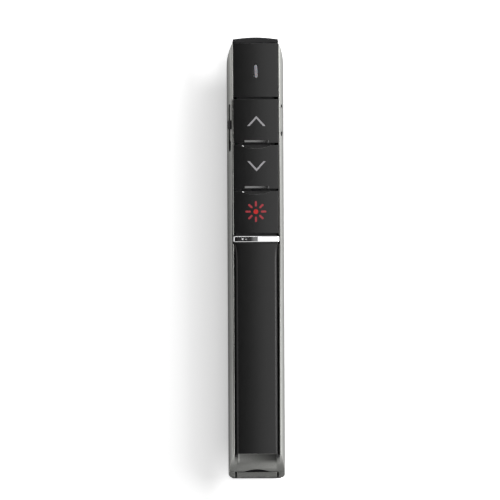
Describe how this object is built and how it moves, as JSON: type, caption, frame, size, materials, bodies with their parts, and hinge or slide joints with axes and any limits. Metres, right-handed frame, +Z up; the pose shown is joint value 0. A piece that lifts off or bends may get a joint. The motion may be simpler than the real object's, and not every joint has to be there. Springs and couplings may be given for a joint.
{
  "type": "wireless presentation clicker",
  "caption": "Slim hand-held presentation remote: painted tub with curved rails, black page and laser keys, side slide switch, side rocker, battery door and a receiver stored in the tail.",
  "frame": {"origin": "middle of the footprint, on the flat face that rests on the table", "axes": "+Y runs from the tail to the laser nose, +Z up out of the face with the keys, +X to the rocker side"},
  "size_m": [0.0192, 0.15, 0.0153],
  "materials": {
    "rail_paint": "gun-metal satin paint over moulded plastic",
    "black_panel": "satin black moulding, fine grain",
    "nose_black": "satin black moulding",
    "bright_trim": "polished plating",
    "window_clear": "polished clear-milky light pipe",
    "laser_glass": "red-tinted polished window",
    "lens_glass": "polished lens",
    "brass_barrel": "turned brass",
    "wire_red": "insulation",
    "wire_black": "insulation",
    "frame_black": "plain inner moulding",
    "board_green": "solder mask",
    "switch_dark": "switch housing",
    "switch_metal": "pressed steel switch frame",
    "chip_black": "moulded package",
    "crystal_can": "stamped can",
    "part_tan": "ceramic",
    "led_yellow": "moulded lamp",
    "cell_jacket": "plain printed film over the can",
    "contact_steel": "nickel plated spring steel",
    "screw_steel": "dark zinc plated",
    "stem_ivory": "switch plunger",
    "nub_black": "matt black thumb nub",
    "plug_steel": "nickel plated folded shell",
    "plug_black": "plug insulator",
    "contact_gold": "gold plated"
  },
  "bodies": {
    "case": {"case_body": "rail_paint", "nose_cap": "nose_black", "aperture_ring": "bright_trim", "laser_window": "laser_glass", "laser_barrel": "brass_barrel", "laser_lens": "lens_glass", "laser_leads": "wire_red", "head_panel": "black_panel", "status_window": "window_clear", "grip_panel": "black_panel", "chrome_bar": "bright_trim", "key_frame": "frame_black", "battery_cradle": "frame_black", "receiver_dock": "frame_black", "main_board": "board_green", "key_switches": "switch_dark", "volume_switches": "switch_metal", "power_switch": "switch_metal", "controller_chip": "chip_black", "radio_crystal": "crystal_can", "board_parts": "part_tan", "status_led": "led_yellow", "battery_cell": "cell_jacket", "cell_cap": "contact_steel", "battery_spring": "contact_steel", "negative_contact": "contact_steel", "positive_contact": "contact_steel", "battery_lead": "wire_black", "case_screws": "screw_steel", "frame_screws": "screw_steel", "rocker_pin": "screw_steel"},
    "page_up_key": {"page_up_key": "black_panel", "page_up_stem": "stem_ivory"},
    "page_down_key": {"page_down_key": "black_panel", "page_down_stem": "stem_ivory"},
    "laser_key": {"laser_key": "black_panel", "laser_key_stem": "stem_ivory"},
    "power_slider": {"power_slider": "rail_paint", "power_nub": "nub_black", "power_switch_lever": "stem_ivory"},
    "volume_rocker": {"volume_rocker": "rail_paint"},
    "battery_door": {"battery_door": "rail_paint"},
    "receiver": {"receiver_grip": "rail_paint", "receiver_shell": "plug_steel", "receiver_tongue": "plug_black", "receiver_contacts": "contact_gold"}
  },
  "joints": [
    {"name": "page_up_press", "type": "slide", "parent": "case", "child": "page_up_key", "axis": [0, 0, -1], "range_m": [0, 0.0005], "stiffness_N_per_m": 300, "springref_m": -0.003},
    {"name": "page_down_press", "type": "slide", "parent": "case", "child": "page_down_key", "axis": [0, 0, -1], "range_m": [0, 0.0005], "stiffness_N_per_m": 300, "springref_m": -0.003},
    {"name": "laser_press", "type": "slide", "parent": "case", "child": "laser_key", "axis": [0, 0, -1], "range_m": [0, 0.0005], "stiffness_N_per_m": 300, "springref_m": -0.003},
    {"name": "power_slide", "type": "slide", "parent": "case", "child": "power_slider", "axis": [0, -1, 0], "range_m": [0, 0.0032]},
    {"name": "volume_rock", "type": "hinge", "parent": "case", "child": "volume_rocker", "pos_m": [0.0055, 0.0472, 0.0106], "axis": [0, 0, 1], "range_deg": [-3.5, 3.5], "stiffness_Nm_per_rad": 0.02},
    {"name": "battery_door_slide", "type": "slide", "parent": "case", "child": "battery_door", "axis": [0, -1, 0], "range_m": [0, 0.06]},
    {"name": "receiver_slide", "type": "slide", "parent": "case", "child": "receiver", "axis": [0, -1, 0], "range_m": [0, 0.018]}
  ]
}
